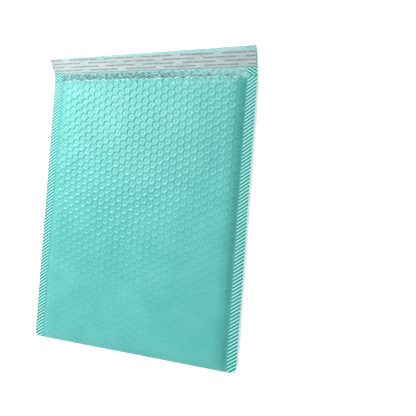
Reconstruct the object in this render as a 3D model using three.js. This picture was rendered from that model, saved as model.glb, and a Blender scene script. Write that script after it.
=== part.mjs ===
// A padded mailing bag lying empty on its back, with its closing flap open.
// One web of bubble film laminated between skins is folded across the bottom and welded down both sides.
// The mouth stays open, and the back runs on past the front lip as the flap.
// The flap carries a strip of adhesive, which a release liner covers until the bag is closed.
// Millimetres. X runs across the bag, Y from the bottom fold to the flap's free edge, Z up from the table.
import * as THREE from 'three';

// Bag
const bagWidth = 280; // over both side welds
const bagLength = 350; // bottom fold to front lip
const weldWidth = 12; // flat band where front and back are welded together
const weldThickness = 0.8; // the two webs melted into one
const cornerRadius = 6; // bottom corners of the welds
const webThickness = 3; // one laminated web, up to the bubble tops
const pocketGap = 5; // room between front and back of the empty bag
const shoulderWidth = 8; // from a weld or the fold to a panel's full height
const foldWall = 1.5; // web left outside the pocket at the bottom crease
const lipThickness = 1.4; // cut edge of the front web, its bubbles crushed
const lipTaper = 6; // length over which the front web thins to its lip

// Bubbles
const bubblePitch = 10; // between bubbles, which stand in rows down the bag
const bubbleRise = 0.9; // dome above the film between bubbles
const bubbleMargin = 3; // plain film between a shoulder and the first bubbles

// Flap
const flapLength = 38; // front lip to free edge, at the longer end
const flapSlant = 5; // how much shorter the flap is at its other end
const flapThickness = 1.2; // web pressed flat for the adhesive
const flapHeight = 2; // underside of the open flap above the table
const flapBend = 10; // length over which the web leaves the mouth and flattens
const flapLean = -9; // sideways lean of the free edge
const flapFlare = 5; // widening of the free edge at each end

// Adhesive and liner
const linerWidth = 19;
const linerThickness = 0.12;
const linerOffset = 12.5; // front lip to liner
const linerEndInset = 0.6; // liner short of the flap at each end
const adhesiveWidth = 13;
const adhesiveThickness = 0.25;
const adhesiveEndInset = 4;
const bondGap = 0.06; // between flap, adhesive and liner

const midHeight = webThickness + pocketGap / 2;
const halfWidth = bagWidth / 2;
const innerHalf = halfWidth - weldWidth;
const fieldHalf = innerHalf - shoulderWidth;
const cellRadius = bubblePitch / Math.sqrt(3);
const columnPitch = bubblePitch * Math.sqrt(3) / 2;
const rowPitch = bubblePitch / 2;

const ease = (t) => Math.sin(Math.PI / 2 * Math.min(1, Math.max(0, t)));
const mix = (a, b, t) => a + (b - a) * t;

// How far the panels have risen from the welded edges at a point, from 0 to 1
function plump(x, y, crease) {
  return ease((innerHalf - Math.abs(x)) / shoulderWidth) * ease((y - crease) / shoulderWidth);
}

// Height of the bubble at a point, from 1 at a bubble's middle to 0 at the corners of its six-sided cell
function bubbleAt(x, y) {
  const nearest = Math.round(x / columnPitch);
  let best = cellRadius;
  for (const column of [nearest - 1, nearest, nearest + 1]) {
    const offset = Math.abs(column % 2) * rowPitch;
    const row = Math.round((y - offset) / bubblePitch);
    best = Math.min(best, Math.hypot(x - column * columnPitch, y - offset - row * bubblePitch));
  }
  return 1 - best / cellRadius;
}

// Outer skin's distance from the middle plane, with or without its bubbles
function outerHeight(x, y, bubbled) {
  const full = midHeight - bubbleRise;
  const plain = mix(weldThickness / 2, full, plump(x, y, 0));
  return bubbled ? plain + bubbleRise * bubbleAt(x, y) : plain;
}

function pocketHeight(x, y) {
  return pocketGap / 2 * plump(x, y, foldWall);
}

// Half the bag's width at a point along it, with the bottom corners rounded off
function edgeAt(y) {
  const rise = Math.max(0, cornerRadius - y);
  return halfWidth - cornerRadius + Math.sqrt(cornerRadius ** 2 - rise ** 2);
}

const points = [];
const faces = [];

function addPoint(x, y, z) {
  points.push(new THREE.Vector3(x, y, z));
  return points.length - 1;
}

// Fills the strip between two rows of points that run the same way.
// Where either diagonal would do, the one lying in the valley between bubbles is taken.
function stitch(first, second, along = 'x') {
  const cost = (a, b) => Math.abs(points[a][along] - points[b][along])
    + 1e-3 * (Math.abs(points[a].z - midHeight) + Math.abs(points[b].z - midHeight));
  let i = 0;
  let j = 0;
  while (i < first.length - 1 || j < second.length - 1) {
    const canFirst = i < first.length - 1;
    const canSecond = j < second.length - 1;
    const takeFirst = canFirst
      && (!canSecond || cost(first[i + 1], second[j]) <= cost(first[i], second[j + 1]));
    if (takeFirst) {
      faces.push(first[i], first[i + 1], second[j]);
      i += 1;
    } else {
      faces.push(first[i], second[j + 1], second[j]);
      j += 1;
    }
  }
}

const stitchAll = (rows, swap) => rows.slice(1).forEach((row, k) => {
  stitch(...(swap ? [row, rows[k]] : [rows[k], row]));
});

// Mirrors a half row of positions, given from the middle outwards
const bothSides = (half) => [...half.map((x) => -x).reverse(), ...half];

// Stations along the bag: close together where the fold swells, then one for each half row of bubbles
const shoulderSteps = [0.35, 1].map((t) => t * shoulderWidth);
const fieldStart = Math.ceil((shoulderWidth + bubbleMargin) / rowPitch);
const fieldEnd = Math.floor((bagLength - lipTaper - bubbleMargin) / rowPitch);
const fieldRows = Array.from({ length: fieldEnd - fieldStart + 1 }, (_, k) => (fieldStart + k) * rowPitch);
const marginRows = [shoulderWidth, bagLength - lipTaper];
const stations = [0, cornerRadius / 3, ...shoulderSteps, ...fieldRows, bagLength - lipTaper, bagLength];

// Positions across the bag at a station, inside the welds
const shoulders = shoulderSteps.map((d) => innerHalf - d).reverse();
function acrossField(y, spacing, shift) {
  if (!fieldRows.includes(y) && !marginRows.includes(y)) return bothSides(shoulders);
  const most = Math.floor((fieldHalf - bubbleMargin) / spacing - shift);
  const half = Array.from({ length: most + 1 }, (_, k) => (k + shift) * spacing);
  const field = shift ? bothSides(half) : [...half.slice(1).map((x) => -x).reverse(), ...half];
  return [...bothSides(shoulders).slice(0, shoulders.length), ...field, ...shoulders];
}

// One row of the outer skin: weld edge, weld, shoulder, bubbles, and back out the other side
function skinRow(y, side, spacing, staggered) {
  const odd = Math.round(y / rowPitch) % 2;
  const inside = acrossField(y, spacing, staggered && odd ? 0.5 : 0);
  const row = [-edgeAt(y), -innerHalf, ...inside, innerHalf, edgeAt(y)];
  return row.map((x) => {
    const bubbled = fieldRows.includes(y) && Math.abs(x) < fieldHalf;
    const lip = side > 0 && y === bagLength;
    const height = lip
      ? Math.max(weldThickness / 2, pocketHeight(x, y) + lipThickness * plump(x, y, 0))
      : outerHeight(x, y, bubbled);
    return addPoint(x, y, midHeight + side * height);
  });
}

// Front: every bubble is a six-sided dome. Back: the same bubbles in four-sided cells.
const front = stations.map((y) => skinRow(y, 1, cellRadius, true));
const back = stations.map((y) => skinRow(y, -1, columnPitch, false));
stitchAll(front, false);
stitch(back[0], front[0]);

// Pocket: its ceiling and floor meet along the welds and the crease, and part towards the mouth
const pocketAcross = [-innerHalf, ...bothSides(shoulders), innerHalf];
const pocketStations = [foldWall, ...shoulderSteps.map((d) => foldWall + d), bagLength];
const floor = [];
const ceiling = [];
for (const y of pocketStations) {
  const low = pocketAcross.map((x) => addPoint(x, y, midHeight - pocketHeight(x, y)));
  floor.push(low);
  ceiling.push(pocketAcross.map((x, k) => {
    const closed = y === foldWall || Math.abs(x) === innerHalf;
    return closed ? low[k] : addPoint(x, y, midHeight + pocketHeight(x, y));
  }));
}
stitchAll(floor, false);
stitchAll(ceiling, true);
const lipRow = front.at(-1);
const mouthFloor = floor.at(-1);
stitch(lipRow.slice(1, -1), ceiling.at(-1));

// A point of the open flap, from one side (-1) to the other (1) and along it
function flapPoint(across, y) {
  const t = (y - bagLength) / flapLength;
  return new THREE.Vector2(across * (halfWidth + flapFlare * t) + flapLean * t, y);
}

// Where the flap's free edge is cut
const flapEnd = (across) => bagLength + flapLength - flapSlant * (1 - across) / 2;

// Flap: the back web flattens out from the mouth's curve and ends in a straight cut
const flapTop = flapHeight + flapThickness;
const flapAcross = [-halfWidth, ...pocketAcross, halfWidth];
const flapRows = [() => bagLength + flapBend / 2, () => bagLength + flapBend, flapEnd];
const topRows = [[...lipRow.slice(0, 2), ...mouthFloor, ...lipRow.slice(-2)]];
const underRows = [...back];
for (const reach of flapRows) {
  const row = (level, mouth) => flapAcross.map((x) => {
    const at = flapPoint(x / halfWidth, reach(x / halfWidth));
    const flat = ease((at.y - bagLength) / flapBend);
    return addPoint(at.x, at.y, mix(mouth(x), level, flat));
  });
  topRows.push(row(flapTop, (x) => midHeight - pocketHeight(x, bagLength)));
  underRows.push(row(flapHeight, (x) => midHeight - outerHeight(x, bagLength, false)));
}
stitchAll(topRows, false);
stitchAll(underRows, true);
stitch(topRows.at(-1), underRows.at(-1));

// Cut edges down both sides, from the fold to the flap's corners
const upper = [...front, ...topRows.slice(1)];
stitch(upper.map((row) => row[0]), underRows.map((row) => row[0]), 'y');
stitch(underRows.map((row) => row.at(-1)), upper.map((row) => row.at(-1)), 'y');

const pouchForm = new THREE.BufferGeometry().setFromPoints(points);
pouchForm.setIndex(faces);
pouchForm.computeVertexNormals();

// A flat strip on the flap, cut to the flap's own slanted ends
function flapStrip(fromY, width, endInset, thickness, height) {
  const outline = [[-1, fromY], [1, fromY], [1, fromY + width], [-1, fromY + width]].map(([side, y]) => {
    const corner = flapPoint(side, y);
    corner.x -= side * endInset;
    return corner;
  });
  const strip = new THREE.ExtrudeGeometry(new THREE.Shape(outline), { depth: thickness, bevelEnabled: false });
  return strip.translate(0, 0, height);
}

const linerStart = bagLength + linerOffset;
const adhesiveStart = linerStart + (linerWidth - adhesiveWidth) / 2;
const adhesiveHeight = flapTop + bondGap;
const linerHeight = adhesiveHeight + adhesiveThickness + bondGap;
const adhesiveForm = flapStrip(
  adhesiveStart, adhesiveWidth, adhesiveEndInset, adhesiveThickness, adhesiveHeight);
const linerForm = flapStrip(linerStart, linerWidth, linerEndInset, linerThickness, linerHeight);

// The middle of the whole outline, which becomes the origin
const corners = [-1, 1].map((side) => flapPoint(side, flapEnd(side)));
const frameX = (Math.min(-halfWidth, corners[0].x) + Math.max(halfWidth, corners[1].x)) / 2;
const frameY = Math.max(corners[0].y, corners[1].y) / 2;

const bag = new THREE.Group();
bag.name = 'padded_mailer';

function addPiece(name, form, color, roughness) {
  const surface = new THREE.MeshStandardMaterial({ color, roughness, metalness: 0, flatShading: true });
  const piece = new THREE.Mesh(form.translate(-frameX, -frameY, 0), surface);
  piece.name = name;
  bag.add(piece);
}

addPiece('mailer_pouch', pouchForm, 0x6ecbc3, 0.35);
addPiece('adhesive_strip', adhesiveForm, 0xe6e2d0, 0.5);
addPiece('release_liner', linerForm, 0xd0dede, 0.4);

export default bag;
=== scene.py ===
import math

import bpy
import numpy as np
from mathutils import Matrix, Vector


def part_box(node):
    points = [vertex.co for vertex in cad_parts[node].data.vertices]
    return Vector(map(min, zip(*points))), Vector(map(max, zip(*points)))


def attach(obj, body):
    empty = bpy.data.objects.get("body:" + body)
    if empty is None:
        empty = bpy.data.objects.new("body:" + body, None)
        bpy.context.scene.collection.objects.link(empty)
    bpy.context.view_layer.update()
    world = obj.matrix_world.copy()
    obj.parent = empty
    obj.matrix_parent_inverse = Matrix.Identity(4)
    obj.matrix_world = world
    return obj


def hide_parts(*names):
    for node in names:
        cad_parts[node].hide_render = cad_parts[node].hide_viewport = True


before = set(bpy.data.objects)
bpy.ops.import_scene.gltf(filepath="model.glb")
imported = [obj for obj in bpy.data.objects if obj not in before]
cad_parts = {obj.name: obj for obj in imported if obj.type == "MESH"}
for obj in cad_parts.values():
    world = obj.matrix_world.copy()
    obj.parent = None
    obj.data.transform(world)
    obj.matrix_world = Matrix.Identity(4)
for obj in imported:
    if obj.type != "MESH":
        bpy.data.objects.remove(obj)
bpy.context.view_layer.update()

mm = 0.001
scene = bpy.context.scene
low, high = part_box("mailer_pouch")

# sizes of the bag as in the solids, but with wider, softer shoulders
bag = {
    "width": 280 * mm, "length": 350 * mm,
    "weldWidth": 12 * mm, "weldThickness": 0.8 * mm, "cornerRadius": 6 * mm,
    "webThickness": 3 * mm, "pocketGap": 5 * mm, "bubbleRise": 0.9 * mm,
    "shoulder": 18 * mm, "foldShoulder": 16 * mm, "foldWall": 1.5 * mm,
    "lipThickness": 1.4 * mm, "lipTaper": 6 * mm,
}
flap = {
    "length": 38 * mm, "slant": 5 * mm, "thickness": 1.2 * mm, "height": 2 * mm,
    "bend": 10 * mm, "lean": -9 * mm, "flare": 5 * mm,
    "rows": 26, "columns": 143, "weldColumns": 12, "weldBlend": 0.6 * mm,
    "pressedFrom": 9 * mm, "pressedOver": 4 * mm,  # from the mouth, flat under the adhesive
    "bubbleEnds": 6 * mm, "topBubbles": (0.3, 0.1), "underBubbles": (1.0, 0.2),  # loose and pressed
}
middle = bag["webThickness"] + bag["pocketGap"] / 2  # height of the weld plane
halfWidth = bag["width"] / 2
innerHalf = halfWidth - bag["weldWidth"]
bagX = high.x - halfWidth  # the bag's own centre line
bagY = low.y               # its bottom fold


def smooth(t):
    t = np.clip(t, 0, 1)
    return t * t * (3 - 2 * t)


def ease(t):
    return np.sin(np.pi / 2 * np.clip(t, 0, 1))


def plump(x, rise):  # 0 at the welds and the bottom fold, 1 where a panel is at its full height
    return ease((innerHalf - np.abs(x)) / bag["shoulder"]) * ease(rise)


def pocketHeight(x, y):
    return bag["pocketGap"] / 2 * plump(x, (y - bag["foldWall"]) / bag["shoulder"])


def outerHeight(x, y, lipped):  # skin before its relief, above or below the weld plane
    weld = bag["weldThickness"] / 2
    raised = plump(x, y / bag["foldShoulder"])
    full = weld + (middle - bag["bubbleRise"] - weld) * raised
    if not lipped:
        return full
    lip = np.maximum(weld, pocketHeight(x, y) + bag["lipThickness"] * raised)
    start = bag["length"] - bag["lipTaper"]
    return full + (lip - full) * smooth((y - start) / bag["lipTaper"])


def edgeAt(y):  # half width, with the bottom corners rounded off
    r = bag["cornerRadius"]
    rise = np.maximum(0, r - y)
    return halfWidth - r + np.sqrt(np.maximum(0, r * r - rise * rise))


def flapEnd(across):
    return bag["length"] + flap["length"] - flap["slant"] * (1 - across) / 2


def flapX(across, y):
    t = (y - bag["length"]) / flap["length"]
    return across * (halfWidth + flap["flare"] * t) + flap["lean"] * t


# one web of points, rows of them stitched into a closed skin
points, faces = [], []
# what the relief and the film's colours have to know at each point
markNames = ("side", "padding", "fullness", "weld", "ribbed",
             "ribTurn", "crease", "lip", "lining", "pressed")
marks = {name: [] for name in markNames}


def addRow(x, y, z, **given):
    start = len(points)
    x, y, z = np.broadcast_arrays(np.asarray(x, float), np.asarray(y, float), np.asarray(z, float))
    points.extend(zip(x + bagX, y + bagY, z))
    for name, values in marks.items():
        values.extend(np.broadcast_to(given.get(name, 0.0), x.shape).astype(float))
    return list(range(start, len(points)))


def stitch(first, second, axis=0):  # fills the strip between two rows that run the same way
    if len(first) == len(second):
        for a, b, c, d in zip(first, first[1:], second[1:], second):
            faces.append((a, b, c, d))
        return
    i = j = 0
    while i < len(first) - 1 or j < len(second) - 1:
        canFirst, canSecond = i < len(first) - 1, j < len(second) - 1
        one = abs(points[first[i + 1]][axis] - points[second[j]][axis]) if canFirst else math.inf
        two = abs(points[first[i]][axis] - points[second[j + 1]][axis]) if canSecond else math.inf
        if one <= two:
            faces.append((first[i], first[i + 1], second[j]))
            i += 1
        else:
            faces.append((first[i], second[j + 1], second[j]))
            j += 1


def stitchAll(rows, swap=False):
    for pair in zip(rows, rows[1:]):
        stitch(*(pair[::-1] if swap else pair))


def rowEnds(rows, end):  # the first or the last point of every row
    return [row[end] for row in rows]


# nine rows and eight columns of points to a bubble on the front,
# fewer near the fold, where bubbles lie soft, and on the back
skin = {
    "fineFrom": 90 * mm, "fineRow": 10 / 9 * mm, "fineColumns": 236,
    "coarseRow": 2.5 * mm, "coarseColumns": 112,
    "weldColumns": 4, "weldInset": 1.6 * mm,
    "ribPitch": 4.35 * mm, "ribLean": 0.75, "ribRows": 4, "ribStart": 1 * mm, "ribEnd": 0.5 * mm,
    "bubblesFrom": 0.5 * mm, "bubblesFull": (5 * mm, 8 * mm), "creaseWidth": 9 * mm,  # in from a weld
    "foldLead": 4 * mm,  # bubbles come this much nearer to the fold than to a weld
    "slackFrom": 40 * mm, "slackTo": 300 * mm, "slackest": 0.36,  # bubbles lie softer towards the fold
    "rightFrom": -20 * mm, "rightSlack": 0.52,  # and towards the right
    "backFullness": 0.7,
    "lipLength": 9 * mm, "lipEnds": 6 * mm, "lipBare": 3 * mm, "lipOverrun": 1 * mm,  # by the cut edge
}


def lipAt(inward, y):  # 0 on the panel, 1 at the cut edge away from the welds
    nearEdge = smooth((y - bag["length"] + skin["lipLength"]) / skin["lipLength"])
    return nearEdge * smooth(inward / skin["lipEnds"])


def filmRow(side, x, y, ribs=0.0):  # points on an outer face, with their marks
    x, y = np.broadcast_arrays(x, y)
    inward = np.minimum(innerHalf - np.abs(x), y + skin["foldLead"])
    outward = np.maximum(0, np.abs(x) - innerHalf)
    full = np.where(x < 0, *skin["bubblesFull"])  # left and right
    padding = smooth((inward - skin["bubblesFrom"]) / (full - skin["bubblesFrom"]))
    fullness, lipMark = skin["backFullness"], 0.0
    if side > 0:
        padding = padding * smooth((bag["length"] - y + skin["lipOverrun"]) / skin["lipBare"])
        slack = smooth((y - skin["slackFrom"]) / (skin["slackTo"] - skin["slackFrom"]))
        fullness = skin["slackest"] + (1 - skin["slackest"]) * slack
        fullness = fullness * (1 - skin["rightSlack"] * smooth((x - skin["rightFrom"]) / innerHalf))
        lipMark = lipAt(inward, y)
    ribbed = ribs * smooth(outward / skin["ribStart"]) * smooth((edgeAt(y) - np.abs(x)) / skin["ribEnd"])
    # the mark beside each weld rises towards it: it places the shoulder puckers and the painted shade on
    # the shoulders
    return addRow(
        x, y, middle + side * outerHeight(x, y, side > 0), side=side, padding=padding, fullness=fullness,
        weld=smooth(outward / skin["weldInset"]), ribbed=ribbed,
        ribTurn=(y - np.sign(x) * skin["ribLean"] * outward) / skin["ribPitch"],
        crease=smooth(1 - (innerHalf - np.abs(x)) / skin["creaseWidth"]), lip=lipMark)


def panelRows(side, stops):  # stops are lengths of bag, each with its number of rows and of columns
    rows = []
    for start, end, count, columns in stops:
        for y in np.linspace(start, end, count + 1)[1 if rows else 0:]:
            rows.append(filmRow(side, np.linspace(-innerHalf, innerHalf, columns + 1), y))
    return rows


def weldRows(side, end, rowSize, ribs):  # rows lean along the ribs, and run straight at both ends
    count = round(bag["length"] / rowSize)
    step = np.linspace(skin["weldInset"] / bag["weldWidth"], 1, skin["weldColumns"])
    straightening = 2 * bag["weldWidth"]
    order = slice(None, None, end)  # from left to right
    rows = []
    for y0 in np.linspace(0, bag["length"], count + 1):
        lean = min(1, y0 / straightening, (bag["length"] - y0) / straightening)
        y = y0 + end * step * bag["weldWidth"] * skin["ribLean"] * lean
        x = end * (innerHalf + step * (edgeAt(y) - innerHalf))
        rows.append(filmRow(side, x[order], y[order], ribs * lean))
    return rows


def outerSkin(side, stops, weldRow, ribs):  # gives back its bottom, top, left and right edges
    turned = side < 0
    panel = panelRows(side, stops)
    left, right = (weldRows(side, end, weldRow, ribs) for end in (-1, 1))
    for rows in (panel, left, right):
        stitchAll(rows, turned)
    for onRight, onLeft in ((panel, left), (right, panel)):
        seam = rowEnds(onRight, 0), rowEnds(onLeft, -1)
        stitch(*(seam[::-1] if turned else seam), 1)
    firstRow, lastRow = left[0] + panel[0] + right[0], left[-1] + panel[-1] + right[-1]
    return firstRow, lastRow, rowEnds(left, 0), rowEnds(right, -1)


fineRows = round((bag["length"] - skin["fineFrom"]) / skin["fineRow"])
softRows = round(skin["fineFrom"] / skin["coarseRow"])
frontStops = [
    (0, skin["fineFrom"], softRows, skin["coarseColumns"]),
    (skin["fineFrom"], bag["length"], fineRows, skin["fineColumns"]),
]
ribRow = skin["ribPitch"] / skin["ribRows"]
frontFold, frontLip, frontLeft, frontRight = outerSkin(1, frontStops, ribRow, 1.0)
backRows = round(bag["length"] / skin["coarseRow"])
backStops = [(0, bag["length"], backRows, skin["coarseColumns"])]
backFold, backTop, backLeft, backRight = outerSkin(-1, backStops, skin["coarseRow"], 0.0)
stitch(backFold, frontFold)  # bottom fold

# pocket, finer near the mouth where it shows
pocket = {
    "columns": 104, "foldRows": 6, "deepRows": 5, "mouthRows": 13,
    "deepFrom": 40 * mm, "deepTo": 300 * mm, "mouthFrom": 315 * mm,
    "bubblesFrom": 312 * mm, "bubblesOver": 10 * mm, "bubbles": 0.5,  # on the floor, as seen in the mouth
    "bubbleInset": 2 * mm, "bubbleEnds": 6 * mm,
}
pocketAcross = np.linspace(-innerHalf, innerHalf, pocket["columns"] + 1)
pocketAlong = np.concatenate([
    bag["foldWall"] + np.linspace(0, 1, pocket["foldRows"] + 1) * bag["shoulder"],
    np.linspace(pocket["deepFrom"], pocket["deepTo"], pocket["deepRows"] + 1),
    np.linspace(pocket["mouthFrom"], bag["length"], pocket["mouthRows"] + 1),
])
fromWeld = innerHalf - np.abs(pocketAcross)
inner = slice(1, -1)  # floor and ceiling share the points at both sides
pocketFloor, pocketCeiling = [], []
for y in pocketAlong:
    gap = pocketHeight(pocketAcross, y)
    padding = pocket["bubbles"] * smooth((fromWeld - pocket["bubbleInset"]) / pocket["bubbleEnds"])
    padding = padding * smooth((y - pocket["bubblesFrom"]) / pocket["bubblesOver"])
    lowRow = addRow(pocketAcross, y, middle - gap, side=1, padding=padding, fullness=1, lining=1)
    pocketFloor.append(lowRow)
    if y == pocketAlong[0]:
        pocketCeiling.append(lowRow)
        continue
    lipMark = lipAt(fromWeld, y)
    topRow = addRow(pocketAcross[inner], y, (middle + gap)[inner], side=-1, lip=lipMark[inner], lining=1)
    pocketCeiling.append([lowRow[0], *topRow, lowRow[-1]])
stitchAll(pocketFloor)
stitchAll(pocketCeiling, True)
weldCount = skin["weldColumns"]
stitch(frontLip[weldCount:-weldCount], pocketCeiling[-1])  # cut edge of the lip

# flap, from the mouth's curve to its flat, slanted free edge
innerShare = innerHalf / halfWidth
weldPart = np.linspace(0, 1, flap["weldColumns"] + 1)[1:] * (1 - innerShare)
across = np.concatenate([-(innerShare + weldPart[::-1]),
                         np.linspace(-innerShare, innerShare, flap["columns"] + 1),
                         innerShare + weldPart])
topRows = [[*frontLip[:weldCount + 1], *pocketFloor[-1], *frontLip[-weldCount - 1:]]]
underRows = [backTop]
mouthX = across * halfWidth
mouthTop = np.where(np.abs(mouthX) > innerHalf, middle + bag["weldThickness"] / 2,
                    middle - pocketHeight(mouthX, bag["length"]))
mouthUnder = middle - outerHeight(mouthX, np.full_like(mouthX, bag["length"]), False)
inward = smooth((innerHalf - np.abs(mouthX)) / flap["bubbleEnds"])
outward = np.abs(mouthX) - innerHalf
ends = smooth((outward + flap["weldBlend"] / 2) / flap["weldBlend"])
for k in range(1, flap["rows"] + 1):
    y = bag["length"] + (flapEnd(across) - bag["length"]) * k / flap["rows"]
    x = flapX(across, y)
    past = y - bag["length"]
    flat = ease(past / flap["bend"])
    topZ = mouthTop + (flap["height"] + flap["thickness"] - mouthTop) * flat
    underZ = mouthUnder + (flap["height"] - mouthUnder) * flat
    pressed = smooth((past - flap["pressedFrom"]) / flap["pressedOver"])
    topPadding = inward * np.interp(pressed, (0, 1), flap["topBubbles"])
    underPadding = inward * np.interp(pressed, (0, 1), flap["underBubbles"])
    ribTurn = (past + np.sign(mouthX) * skin["ribLean"] * outward) / skin["ribPitch"]
    topRows.append(addRow(x, y, topZ, side=1, padding=topPadding, fullness=1, lining=1,
                          pressed=pressed, weld=ends, ribTurn=ribTurn))
    underRows.append(addRow(x, y, underZ, side=-1, padding=underPadding, fullness=skin["backFullness"],
                            weld=ends, ribTurn=ribTurn))
stitchAll(topRows)
stitchAll(underRows, True)
stitch(topRows[-1], underRows[-1])
stitch(frontLeft + rowEnds(topRows[1:], 0), backLeft + rowEnds(underRows[1:], 0), 1)
stitch(backRight + rowEnds(underRows[1:], -1), frontRight + rowEnds(topRows[1:], -1), 1)
print("web of", len(points), "points and", len(faces), "faces")


sharpAngle = math.radians(60)  # edges bent further than this stay crisp


def newMesh(name, verts, polys):
    mesh = bpy.data.meshes.new(name)
    mesh.from_pydata([tuple(map(float, v)) for v in verts], [], polys)
    mesh.update()
    mesh.polygons.foreach_set("use_smooth", [True] * len(mesh.polygons))
    obj = bpy.data.objects.new(name, mesh)
    scene.collection.objects.link(obj)
    return obj


pouch = newMesh("pouch", points, faces)
for name, values in marks.items():
    layer = pouch.data.attributes.new(name, "FLOAT", "POINT")
    layer.data.foreach_set("value", np.asarray(values, np.float32))


class Graph:  # small helper to write node trees in a few lines
    def __init__(self, tree):
        self.tree = tree

    def add(self, kind, *links, **settings):
        item = self.tree.nodes.new(kind)
        for key, value in settings.items():
            setattr(item, key, value)
        for k, value in enumerate(links):
            self.put(item.inputs[k], value)
        return item

    def put(self, socket, value):
        if value is None:
            return
        if isinstance(value, bpy.types.NodeSocket):
            self.tree.links.new(value, socket)
        else:
            socket.default_value = value

    def math(self, operation, *values):
        return self.add("ShaderNodeMath", *values, operation=operation).outputs[0]

    def times(self, first, *others):
        for other in others:
            first = self.math("MULTIPLY", first, other)
        return first

    def vector(self, operation, *values):
        item = self.add("ShaderNodeVectorMath", *values, operation=operation)
        return item.outputs["Value" if operation == "LENGTH" else "Vector"]

    def ramp(self, value, fromLow, fromHigh, toLow=0.0, toHigh=1.0, smoothly=True):
        return self.add("ShaderNodeMapRange", value, fromLow, fromHigh, toLow, toHigh,
                        interpolation_type="SMOOTHSTEP" if smoothly else "LINEAR").outputs[0]

    def xyz(self, x, y, z):
        return self.add("ShaderNodeCombineXYZ", x, y, z).outputs[0]

    def noise(self, vector, scale, detail):
        item = self.tree.nodes.new("ShaderNodeTexNoise")
        self.put(item.inputs["Vector"], vector)
        self.put(item.inputs["Scale"], scale)
        self.put(item.inputs["Detail"], detail)
        return item.outputs[0]

    def swing(self, vector, scale, detail):  # noise to both sides of zero
        return self.math("SUBTRACT", self.noise(vector, scale, detail), 0.5)

    def wave(self, turns):  # a cosine of whole turns
        return self.math("COSINE", self.math("MULTIPLY", turns, 2 * math.pi))


relief = {
    "Bubble Pitch": 10 * mm, "Ring Radius": 2.6 * mm, "Bubble Radius": 4.6 * mm,
    "Bubble Rise": 0.85 * mm, "Dimple": 0.38 * mm, "Dimple Radius": 0.8 * mm,
    "Unevenness": 0.36, "Column Rise": 0.1 * mm,
    "Rib Rise": 0.24 * mm, "Lip Ruffle": 4 * mm, "Lip Crinkle": 1.6 * mm, "Lip Droop": 1.6 * mm,
    "Sway": 0.5 * mm, "Crinkle": 0.3 * mm, "Pucker": 1.1 * mm, "Rest Height": 0.02 * mm, "Seed": 3.7,
}
# how fine the film's unevenness is, in swings to a metre
grain = {
    "bubbles": 173.0, "sway": 14.0, "crinkle": 260.0, "pucker": 120.0,
    "lipRuffle": 110.0, "lipCrinkle": 380.0, "lipShift": 150.0,
}


def flatOn(g, place):  # place on the bag, from the middle of its fold
    return g.vector("MULTIPLY", g.vector("SUBTRACT", place, (bagX, bagY, 0)), (1, 1, 0))


# how deep a bubble is pressed in at a place, where its middle is, and 1 on its ring
def bubbleRing(g, flatPlace, sizes):
    # two lattices of oblong cells, the second shifted by half a cell
    cell = g.xyz(g.math("MULTIPLY", sizes["Bubble Pitch"], math.sqrt(3)), sizes["Bubble Pitch"], 1.0)
    half = g.vector("MULTIPLY", cell, (0.5, 0.5, 0.5))
    away = g.vector("MULTIPLY", half, (-1, -1, -1))
    one = g.vector("MULTIPLY", g.vector("WRAP", flatPlace, half, away), (1, 1, 0))
    two = g.vector("MULTIPLY", g.vector("WRAP", g.vector("ADD", flatPlace, half), half, away), (1, 1, 0))
    radiusOne, radiusTwo = g.vector("LENGTH", one), g.vector("LENGTH", two)
    radius = g.math("MINIMUM", radiusOne, radiusTwo)
    nearer = g.math("LESS_THAN", radiusOne, radiusTwo)
    toOne = g.vector("MULTIPLY", one, g.xyz(nearer, nearer, nearer))
    further = g.math("SUBTRACT", 1.0, nearer)
    toTwo = g.vector("MULTIPLY", two, g.xyz(further, further, further))
    centre = g.vector("SUBTRACT", flatPlace, g.vector("ADD", toOne, toTwo))
    dome = g.ramp(radius, sizes["Bubble Radius"], sizes["Ring Radius"])
    hollow = g.ramp(radius, sizes["Ring Radius"], sizes["Dimple Radius"])
    ring = g.math("SUBTRACT", g.times(dome, sizes["Bubble Rise"]), g.times(hollow, sizes["Dimple"]))
    return ring, centre, g.math("SUBTRACT", dome, hollow)


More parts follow.
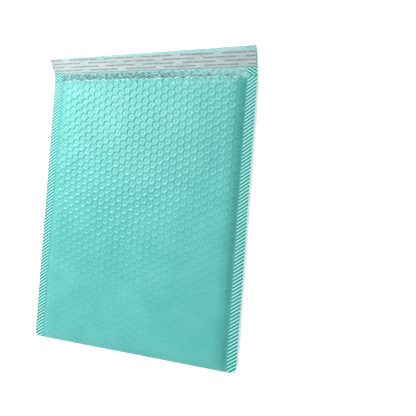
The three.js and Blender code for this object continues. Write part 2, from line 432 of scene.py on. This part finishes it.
def reliefTree(material):
    tree = bpy.data.node_groups.new("bubbleRelief", "GeometryNodeTree")
    g = Graph(tree)
    tree.interface.new_socket("Geometry", in_out="INPUT", socket_type="NodeSocketGeometry")
    for name in relief:
        tree.interface.new_socket(name, in_out="INPUT", socket_type="NodeSocketFloat")
    tree.interface.new_socket("Geometry", in_out="OUTPUT", socket_type="NodeSocketGeometry")
    given = g.add("NodeGroupInput").outputs
    named = lambda name: g.add("GeometryNodeInputNamedAttribute", name, data_type="FLOAT").outputs[0]
    padding, fullness = named("padding"), named("fullness")
    place = g.add("GeometryNodeInputPosition").outputs[0]
    flatPlace = flatOn(g, place)
    ring, centre, _ = bubbleRing(g, flatPlace, given)
    ownPlace = g.vector("ADD", centre, g.xyz(given["Seed"], given["Seed"], 0.0))
    chance = g.swing(ownPlace, grain["bubbles"], 0.0)
    uneven = g.math("MULTIPLY_ADD", chance, g.times(given["Unevenness"], 2.0), 1.0)
    bubble = g.times(g.math("SUBTRACT", given["Bubble Rise"], g.times(ring, uneven, fullness)), padding)
    # where bubbles lie soft, their columns still show as faint ridges
    parts = g.add("ShaderNodeSeparateXYZ", flatPlace).outputs
    columnTurns = g.math("DIVIDE", parts[0], g.times(given["Bubble Pitch"], math.sqrt(3) / 2))
    softness = g.math("SUBTRACT", 1.0, fullness)
    column = g.times(g.wave(columnTurns), given["Column Rise"], padding, softness)
    # weld ribs
    rib = g.times(g.wave(named("ribTurn")), named("ribbed"), given["Rib Rise"])
    # loose film: slow sway, fine lengthwise crinkles
    seeded = g.vector("ADD", flatPlace, g.xyz(0.0, 0.0, given["Seed"]))
    sway = g.times(g.swing(seeded, grain["sway"], 1.0), given["Sway"])
    lengthwise = g.vector("MULTIPLY", seeded, (1.0, 0.3, 1.0))
    crinkle = g.times(g.swing(lengthwise, grain["crinkle"], 2.0), given["Crinkle"])
    loose = g.math("ADD", padding, g.math("SUBTRACT", named("lining"), named("pressed")))
    loose = g.math("ADD", g.times(sway, padding), g.times(crinkle, loose))
    # shoulders pucker beside the welds
    crease = named("crease")
    beside = g.times(crease, g.math("SUBTRACT", 1.0, crease), 4.0)
    crosswise = g.vector("MULTIPLY", seeded, (0.2, 1.0, 1.0))
    pucker = g.times(g.swing(crosswise, grain["pucker"], 1.0), given["Pucker"], beside)
    loose = g.math("ADD", loose, pucker)
    up = g.math("ADD", g.math("ADD", bubble, column), loose)
    up = g.times(g.math("ADD", up, rib), named("side"))
    # ruffled lip: depends on the place across only, so both faces of the lip move together
    acrossOnly = g.vector("MULTIPLY", seeded, (1, 0, 1))
    ruffle = g.times(g.swing(acrossOnly, grain["lipRuffle"], 2.0), given["Lip Ruffle"])
    fold = g.times(g.swing(acrossOnly, grain["lipCrinkle"], 2.0), given["Lip Crinkle"])
    elsewhere = g.vector("ADD", acrossOnly, (0, 3, 0))
    shift = g.swing(elsewhere, grain["lipShift"], 2.0)
    shift = g.times(shift, given["Lip Ruffle"], 2.0, named("lip"))
    lift = g.math("SUBTRACT", g.times(g.math("ADD", ruffle, fold), 2.0), given["Lip Droop"])
    lift = g.times(lift, named("lip"))
    move = g.xyz(0.0, shift, g.math("ADD", up, lift))
    target = g.add("ShaderNodeSeparateXYZ", g.vector("ADD", place, move)).outputs
    rested = g.xyz(target[0], target[1], g.math("MAXIMUM", target[2], given["Rest Height"]))
    moved = g.add("GeometryNodeSetPosition", given["Geometry"], None, rested).outputs[0]
    real = g.add("GeometryNodeRealizeInstances", moved).outputs[0]
    last = g.add("GeometryNodeSetMaterial", real, None, material).outputs[0]
    g.add("NodeGroupOutput", last)
    return tree


def grow(obj, tree, values):  # runs a tree on a piece and keeps the result as its plain mesh
    modifier = obj.modifiers.new("grow", "NODES")
    modifier.node_group = tree
    for item in tree.interface.items_tree:
        if item.in_out == "INPUT" and item.name in values:
            modifier[item.identifier] = float(values[item.name])
    ready = obj.evaluated_get(bpy.context.evaluated_depsgraph_get())
    mesh = bpy.data.meshes.new_from_object(ready)
    obj.modifiers.remove(modifier)
    old = obj.data
    obj.data = mesh
    bpy.data.meshes.remove(old)
    mesh.name = obj.name


def linear(r, g, b):  # screen colour, 0 to 255, as Blender's linear colour
    return [((c / 255 + 0.055) / 1.055) ** 2.4 if c > 10 else c / 255 / 12.92 for c in (r, g, b)] + [1.0]


def newMaterial(name):
    material = bpy.data.materials.new(name)
    material.use_nodes = True
    g = Graph(material.node_tree)
    shader = material.node_tree.nodes["Principled BSDF"]
    return material, g, shader


def mixColour(g, factor, a, b):
    item = g.tree.nodes.new("ShaderNodeMix")
    item.data_type = "RGBA"
    for socket, value in zip((item.inputs["Factor"], item.inputs[6], item.inputs[7]), (factor, a, b)):
        g.put(socket, value)
    return item.outputs[2]


def addBump(g, shader, height, strength, distance):
    bump = g.tree.nodes.new("ShaderNodeBump")
    bump.inputs["Strength"].default_value = strength
    bump.inputs["Distance"].default_value = distance
    g.put(bump.inputs["Height"], height)
    g.put(shader.inputs["Normal"], bump.outputs[0])


film = {
    "valley": linear(80, 173, 167), "crest": linear(102, 194, 188), "pearl": linear(142, 222, 214),
    # the shoulder colour 48, 152, 139 is painted shade beside the welds
    # the two rib colours are painted shade in the grooves and painted highlight on the rib tops
    "crease": linear(48, 152, 139), "paintedRibShade": linear(34, 116, 109), "paintedRibHighlight": linear(150, 234, 227),
    # the lining's colours are the inner film's grey-teal, darkened further as painted shade in the mouth
    "liningLow": linear(66, 122, 124), "liningHigh": linear(142, 196, 194),
    # the pale lip colour is a painted highlight along the cut edge
    "paintedLipGlint": linear(210, 238, 236), "margin": linear(156, 202, 200), "speckle": linear(134, 188, 186),
    "clouds": 28.0, "specks": 330.0, "strokes": 560.0, "streaks": 420.0,  # to a metre
    "pearlShare": 0.16, "creaseShare": 0.35, "pressedSeam": 0.25,
    "paintedLightFrom": -20 * mm, "paintedLightTo": 110 * mm, "paintedLightShift": 0.12,  # painted light: the lining is paler on the right, where the mouth is less shaded
    "roughness": (0.34, 0.5), "liningRougher": 0.25, "weldRougher": 0.25, "specular": 0.52,
    "streakHeight": 0.05 * mm, "ribHeight": 0.1 * mm, "ringShare": 0.3,
}


def filmMaterial():
    material, g, shader = newMaterial("bubbleFilm")
    attribute = lambda name: g.add("ShaderNodeAttribute", attribute_name=name).outputs["Fac"]
    place = g.add("ShaderNodeTexCoord").outputs["Object"]
    weld, lining, pressed = attribute("weld"), attribute("lining"), attribute("pressed")
    rib = g.wave(attribute("ribTurn"))
    # rings again, point by point: paler on the ring, and a little crisper than the mesh can be
    ring, _, paler = bubbleRing(g, flatOn(g, place), relief)
    pressing = g.times(attribute("padding"), attribute("fullness"))
    body = mixColour(g, g.times(paler, pressing), film["valley"], film["crest"])
    cloud = g.noise(place, film["clouds"], 3.0)
    body = mixColour(g, g.ramp(cloud, 0.35, 0.7, 0.0, film["pearlShare"], False), body, film["pearl"])
    # painted shade: the film darkens on the shoulders beside the welds
    body = mixColour(g, g.times(attribute("crease"), film["creaseShare"]), body, film["crease"])
    specks = g.noise(g.vector("MULTIPLY", place, (0.6, 1.0, 1.0)), film["specks"], 3.0)
    margin = mixColour(g, g.ramp(specks, 0.5, 0.62), film["margin"], film["speckle"])
    strokes = g.noise(g.vector("MULTIPLY", place, (0.4, 1.0, 1.0)), film["strokes"], 3.0)
    # painted light: the lining grows paler towards the right
    placeX = g.add("ShaderNodeSeparateXYZ", place).outputs[0]
    paintedLight = g.ramp(placeX, film["paintedLightFrom"], film["paintedLightTo"], 0.0, film["paintedLightShift"])
    inside = g.ramp(g.math("ADD", strokes, paintedLight), 0.42, 0.66)
    inside = mixColour(g, inside, film["liningLow"], film["liningHigh"])
    inside = mixColour(g, pressed, inside, margin)
    colour = mixColour(g, lining, body, inside)
    # painted highlight: broken pale glints along the lip's cut edge
    edge = g.times(g.ramp(attribute("lip"), 0.9, 0.99), g.ramp(strokes, 0.46, 0.58))
    colour = mixColour(g, edge, colour, film["paintedLipGlint"])
    # painted highlight on the rib tops and painted shade between them, in step with the ribs' relief
    seam = mixColour(g, g.ramp(rib, -0.6, 0.6), film["paintedRibShade"], film["paintedRibHighlight"])
    seamShare = g.times(weld, g.math("MULTIPLY_ADD", pressed, film["pressedSeam"] - 1, 1.0))
    g.put(shader.inputs["Base Color"], mixColour(g, seamShare, colour, seam))
    streaks = g.noise(g.vector("MULTIPLY", place, (1.0, 0.25, 1.0)), film["streaks"], 3.0)
    rough = g.ramp(streaks, 0.3, 0.7, *film["roughness"], False)
    duller = g.math("MULTIPLY_ADD", weld, film["weldRougher"], g.times(lining, film["liningRougher"]))
    g.put(shader.inputs["Roughness"], g.math("ADD", rough, duller))
    shader.inputs["Specular IOR Level"].default_value = film["specular"]
    height = g.math("ADD", g.times(streaks, film["streakHeight"]), g.times(rib, weld, film["ribHeight"]))
    addBump(g, shader, g.math("ADD", height, g.times(ring, pressing, -film["ringShare"])), 1.0, 1.0)
    return material


filmFinish = filmMaterial()
grow(pouch, reliefTree(filmFinish), relief)
pouch.data.set_sharp_from_angle(angle=sharpAngle)
pouch.data.calc_loop_triangles()
print("pouch skin:", len(pouch.data.loop_triangles), "triangles")

# release liner: a thin strip lying in shallow ripples over the adhesive
linerLow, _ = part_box("release_liner")
liner = {
    "offset": 12.5 * mm, "width": 19 * mm, "thickness": 0.12 * mm, "endInset": 0.6 * mm,
    "columns": 180, "rows": 12,
    "ripple": 0.12 * mm, "rippleWaves": (95, 31),  # radians to a metre
    "edgeLift": 0.12 * mm, "edgeWaves": 140, "endCurl": 1.6 * mm, "curlFrom": 0.93,
    "firstRow": 3.1 * mm, "rowPitch": 4.8 * mm, "groupPitch": 54 * mm,
    "rowShift": 0.52, "rowDrift": 0.03, "dashBreaks": (0.27, 0.56),  # shares of a group
    "paper": linear(176, 193, 192), "cloudyPaper": linear(160, 185, 183), "ink": linear(136, 130, 136),
    "clouds": 60.0, "roughness": 0.55, "specular": 0.1,
}


def makeLiner():
    columns, rows = liner["columns"], liner["rows"]
    quickWave, slowWave = liner["rippleWaves"]
    curlFrom = liner["curlFrom"]
    verts, polys = [], []
    u = np.linspace(-1, 1, columns + 1)
    for layer in (0, 1):
        for k in range(rows + 1):
            v = k / rows
            y = bag["length"] + liner["offset"] + liner["width"] * v
            x = flapX(u, y) - u * liner["endInset"]
            ripple = liner["ripple"] * (1 + np.sin(x * quickWave + 2.1 * v) * np.sin(x * slowWave + 1.3))
            edge = liner["edgeLift"] * abs(2 * v - 1) ** 3 * (0.6 + 0.4 * np.sin(x * liner["edgeWaves"]))
            curl = liner["endCurl"] * smooth((-curlFrom - u) / (1 - curlFrom)) ** 2 * (0.4 + 0.6 * v)
            z = linerLow.z + ripple + edge + curl + layer * liner["thickness"]
            verts.extend(zip(x + bagX, np.full_like(x, y) + bagY, z))
    size = (columns + 1) * (rows + 1)
    at = lambda layer, k, c: layer * size + k * (columns + 1) + c
    for k in range(rows):
        for c in range(columns):
            polys.append((at(1, k, c), at(1, k, c + 1), at(1, k + 1, c + 1), at(1, k + 1, c)))
            polys.append((at(0, k, c), at(0, k + 1, c), at(0, k + 1, c + 1), at(0, k, c + 1)))
    for c in range(columns):
        polys.append((at(0, 0, c), at(0, 0, c + 1), at(1, 0, c + 1), at(1, 0, c)))
        polys.append((at(0, rows, c + 1), at(0, rows, c), at(1, rows, c), at(1, rows, c + 1)))
    for k in range(rows):
        polys.append((at(0, k + 1, 0), at(0, k, 0), at(1, k, 0), at(1, k + 1, 0)))
        polys.append((at(0, k, columns), at(0, k + 1, columns),
                      at(1, k + 1, columns), at(1, k, columns)))
    obj = newMesh("liner", verts, polys)
    obj.data.set_sharp_from_angle(angle=sharpAngle)
    return obj


def linerMaterial():
    material, g, shader = newMaterial("releaseFilm")
    place = g.add("ShaderNodeTexCoord").outputs["Object"]
    parts = g.add("ShaderNodeSeparateXYZ", place).outputs
    past = g.math("SUBTRACT", parts[1], linerLow.y + liner["firstRow"])
    row = g.math("DIVIDE", past, liner["rowPitch"])
    index = g.math("ROUND", row)
    tall = g.ramp(g.math("ABSOLUTE", g.math("SUBTRACT", row, index)), 0.24, 0.14)
    # groups of three dashes, every other row shifted by half a group
    odd = g.math("MODULO", g.math("ADD", index, 8.0), 2.0)  # an even number added keeps it above zero
    stagger = g.math("ADD", g.times(odd, liner["rowShift"]), g.times(index, liner["rowDrift"]))
    fromLeft = g.math("ADD", parts[0], 1.0)  # from a place left of the whole strip
    run = g.math("ADD", g.math("DIVIDE", fromLeft, liner["groupPitch"]), stagger)
    along = g.math("FRACT", run)
    group = g.ramp(along, 0.8, 0.78)
    dash = g.times(tall, group)
    for breakAt in liner["dashBreaks"]:
        near = g.math("ABSOLUTE", g.math("SUBTRACT", along, breakAt))
        dash = g.times(dash, g.ramp(near, 0.006, 0.02, 0.25, 1.0))
    ink = g.noise(g.xyz(g.times(run, 60.0), g.times(index, 3.7), 0.0), 1.0, 1.0)
    dash = g.times(dash, g.ramp(ink, 0.3, 0.6, 0.55, 0.95))
    cloud = g.noise(g.vector("MULTIPLY", place, (1.0, 2.0, 1.0)), liner["clouds"], 3.0)
    paper = mixColour(g, g.ramp(cloud, 0.38, 0.66), liner["paper"], liner["cloudyPaper"])
    g.put(shader.inputs["Base Color"], mixColour(g, dash, paper, liner["ink"]))
    shader.inputs["Roughness"].default_value = liner["roughness"]
    shader.inputs["Specular IOR Level"].default_value = liner["specular"]
    addBump(g, shader, cloud, 0.3, 0.3 * mm)
    return material


linerPiece = makeLiner()
linerPiece.data.materials.append(linerMaterial())
print("liner:", len(linerPiece.data.polygons), "faces")

# adhesive strip, hidden under the liner
hotMelt = {
    "hollow": linear(226, 220, 196), "bead": linear(240, 236, 220), "beads": 700.0, "roughness": 0.28,
}


def adhesiveMaterial():
    material, g, shader = newMaterial("hotMelt")
    place = g.add("ShaderNodeTexCoord").outputs["Object"]
    beads = g.noise(g.vector("MULTIPLY", place, (0.2, 1.0, 1.0)), hotMelt["beads"], 2.0)
    g.put(shader.inputs["Base Color"], mixColour(g, beads, hotMelt["hollow"], hotMelt["bead"]))
    shader.inputs["Roughness"].default_value = hotMelt["roughness"]
    addBump(g, shader, beads, 0.4, 0.2 * mm)
    return material


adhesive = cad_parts["adhesive_strip"]
adhesive.data.materials.clear()
adhesive.data.materials.append(adhesiveMaterial())

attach(pouch, "root")
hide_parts("mailer_pouch")
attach(linerPiece, "root")
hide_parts("release_liner")

# floor, light and camera
studio = {
    "keyPlace": (-0.6, 1.6, 1.6), "keySize": 0.8, "keyPower": 28.5,
    "fillPlace": (-0.25, -0.8, 0.8), "fillSize": 0.6, "fillPower": 7.4,
    "cardPlace": (-0.41, 0.28, 0.44), "cardSize": 0.2, "cardPower": 2.7,
    "rimPlace": (1.2, -0.3, 0.75), "rimSize": 0.5, "rimPower": 1.2,
    "world": 0.12, "floorReach": 3, "floorGlow": 0.6, "glowFrom": 0.35, "glowTo": 1.2,
}


def addLamp(name, place, size, power):
    data = bpy.data.lights.new(name, "AREA")
    data.size = size
    data.energy = power
    lamp = bpy.data.objects.new(name, data)
    lamp.location = place
    lamp.visible_glossy = name in ("key", "card")  # fill and rim are too broad to show as glints
    lamp.rotation_euler = (-Vector(place)).to_track_quat("-Z", "Y").to_euler()
    scene.collection.objects.link(lamp)


for name in ("key", "fill", "card", "rim"):
    addLamp(name, studio[name + "Place"], studio[name + "Size"], studio[name + "Power"])


def seenDirectly(g):  # 1 for what the camera sees, also in gloss and through film
    rays = g.add("ShaderNodeLightPath").outputs
    mirrored = g.math("MAXIMUM", rays["Is Glossy Ray"], rays["Is Transmission Ray"])
    return g.math("MAXIMUM", rays["Is Camera Ray"], mirrored)


world = bpy.data.worlds.new("studio")
world.use_nodes = True
g = Graph(world.node_tree)
background = world.node_tree.nodes["Background"]
background.inputs["Color"].default_value = (1, 1, 1, 1)
g.put(background.inputs["Strength"], g.ramp(seenDirectly(g), 0.0, 1.0, studio["world"], 1.0, False))
scene.world = world

far = studio["floorReach"]
floorCorners = [(-far, -far, 0), (far, -far, 0), (far, far, 0), (-far, far, 0)]
floorSheet = newMesh("floor", floorCorners, [(0, 1, 2, 3)])
floorMaterial, g, shader = newMaterial("paleFloor")
shader.inputs["Base Color"].default_value = (0.9, 0.9, 0.9, 1)
shader.inputs["Roughness"].default_value = 0.9
shader.inputs["Specular IOR Level"].default_value = 0.0
away = g.vector("LENGTH", g.add("ShaderNodeTexCoord").outputs["Object"])
# the far floor meets the white around it
glow = g.ramp(away, studio["glowFrom"], studio["glowTo"], studio["floorGlow"], 1.0)
shader.inputs["Emission Color"].default_value = (1, 1, 1, 1)
g.put(shader.inputs["Emission Strength"], g.times(seenDirectly(g), glow))
floorSheet.data.materials.append(floorMaterial)

view = {
    "place": (0.20387, -0.0068, 0.40458), "focalPixels": 341.97, "framePixels": 416,
    "turn": (1.614, 14.787, 4.353),  # degrees about X, Y and Z
}
cameraData = bpy.data.cameras.new("camera")
cameraData.sensor_width = 36
cameraData.lens = view["focalPixels"] / view["framePixels"] * cameraData.sensor_width
cameraData.clip_start = 0.01
camera = bpy.data.objects.new("camera", cameraData)
camera.location = view["place"]
camera.rotation_euler = [math.radians(angle) for angle in view["turn"]]
scene.collection.objects.link(camera)
scene.camera = camera
scene.view_settings.view_transform = "Standard"
